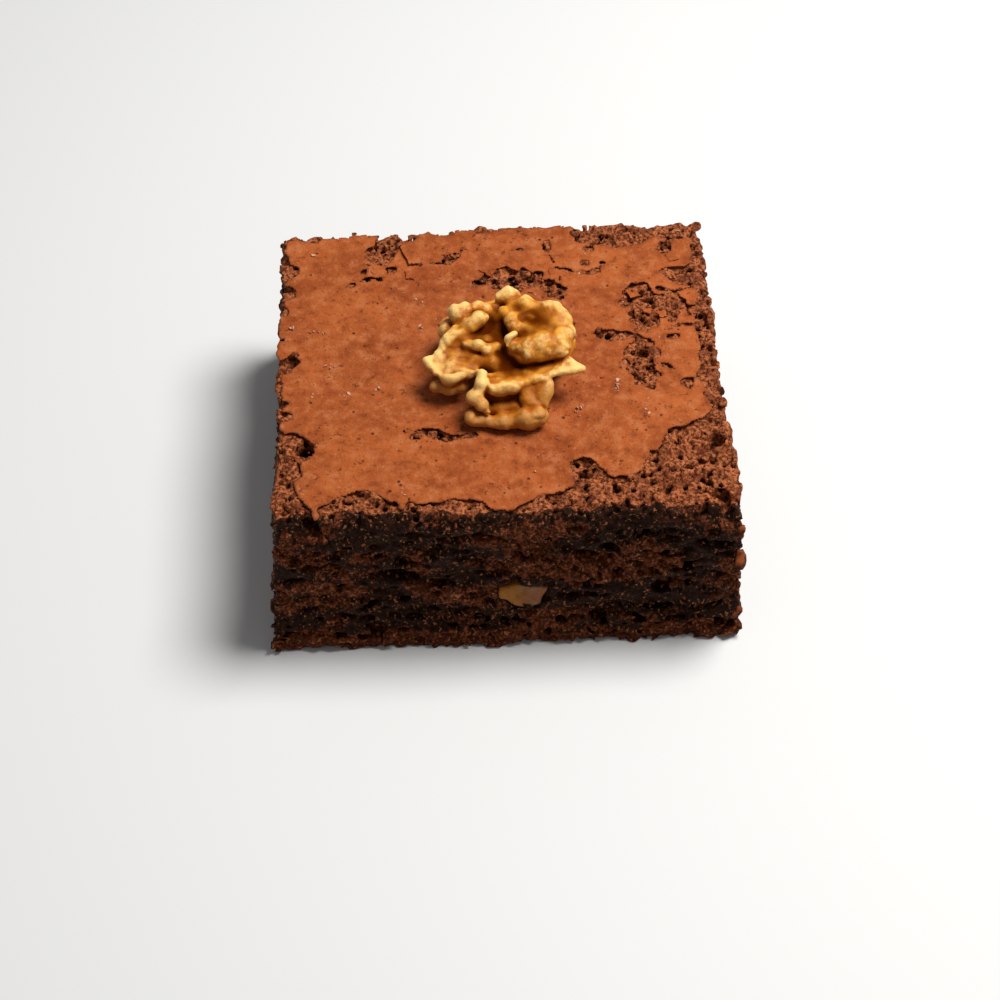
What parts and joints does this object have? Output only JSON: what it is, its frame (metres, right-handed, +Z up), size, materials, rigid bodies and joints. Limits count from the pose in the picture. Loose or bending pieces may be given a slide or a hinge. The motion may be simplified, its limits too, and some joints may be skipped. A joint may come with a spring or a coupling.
{
  "type": "chocolate brownie",
  "caption": "Square of fudgy chocolate brownie with a papery, torn top crust, a walnut half on top and a walnut chip in its front cut.",
  "frame": {"origin": "middle of the flat base, on the surface the brownie rests on", "axes": "+X along the longer side, to the right of the front cut; +Y towards the back, away from the front cut; +Z up through the crust"},
  "size_m": [0.0764, 0.0676, 0.0427],
  "materials": {
    "cake": "stands for chocolate brownie: dark moist crumb under a matte, papery, reddish-brown crust",
    "walnut": "stands for toasted walnut: satin, pale cream ridges with orange-brown creases",
    "walnut_chip": "stands for broken walnut: satin, pale yellow-tan"
  },
  "bodies": {
    "root": {"brownie": "cake", "walnut_half": "walnut", "walnut_chip": "walnut_chip"}
  },
  "joints": []
}
